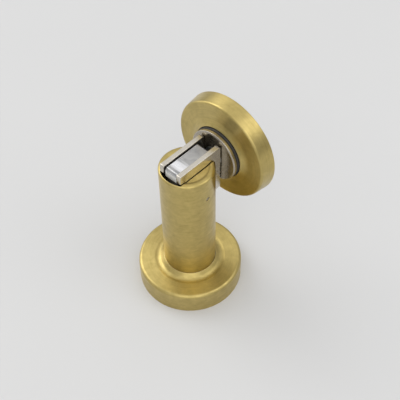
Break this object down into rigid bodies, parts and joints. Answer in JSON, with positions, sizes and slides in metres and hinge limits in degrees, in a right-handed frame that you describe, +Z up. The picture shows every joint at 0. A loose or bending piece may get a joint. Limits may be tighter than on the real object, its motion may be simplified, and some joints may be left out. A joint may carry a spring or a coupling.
{
  "type": "magnetic floor door holder",
  "caption": "Magnetic door holder: slotted post on a round floor base, rocking magnet head, and a door-mounted cup with a sprung keeper disc.",
  "frame": {"origin": "centre of the base, on the floor", "axes": "+Z up along the post, +X from the post towards the door, +Y to the left when facing the door"},
  "size_m": [0.0519, 0.0517, 0.0961],
  "materials": {
    "satin_brass": "satin, circumferential brushing",
    "bright_nickel": "bright nickel plate on steel",
    "magnet_nickel": "nickel-plated magnet, fine ground lines",
    "zinc_steel": "zinc-plated steel",
    "spring_steel": "plain steel wire",
    "black_rubber": "matt black rubber",
    "black_nylon": "moulded black nylon"
  },
  "bodies": {
    "floor_unit": {"base_plate": "zinc_steel", "base_stud": "zinc_steel", "post_plug": "zinc_steel", "post_tube": "satin_brass", "head_pin": "spring_steel", "pin_spacer_left": "zinc_steel", "pin_spacer_right": "zinc_steel"},
    "flange": {"base_cover": "satin_brass"},
    "head": {"pole_plate_left": "bright_nickel", "pole_plate_right": "bright_nickel", "head_magnet": "magnet_nickel", "head_carrier": "black_nylon", "head_rivet_front": "zinc_steel", "head_rivet_rear": "zinc_steel"},
    "door_unit": {"door_cover": "satin_brass", "door_plate": "zinc_steel", "keeper_spring": "spring_steel"},
    "keeper": {"keeper_disc": "bright_nickel", "keeper_bolt": "zinc_steel", "keeper_holder": "black_rubber", "keeper_nut": "zinc_steel"}
  },
  "joints": [
    {"name": "cover_lift", "type": "slide", "parent": "floor_unit", "child": "flange", "axis": [0, 0, 1], "range_m": [0, 0.03]},
    {"name": "head_rock", "type": "hinge", "parent": "floor_unit", "child": "head", "pos_m": [0, 0, 0.06305], "axis": [0, 1, 0], "range_deg": [-2, 0.8]},
    {"name": "door_release", "type": "slide", "parent": "floor_unit", "child": "door_unit", "axis": [1, 0, 0], "range_m": [0, 0.06]},
    {"name": "keeper_cushion", "type": "slide", "parent": "door_unit", "child": "keeper", "axis": [1, 0, 0], "range_m": [0, 0.0016], "stiffness_N_per_m": 1500, "springref_m": -0.001, "deforming": ["keeper_spring"]}
  ]
}
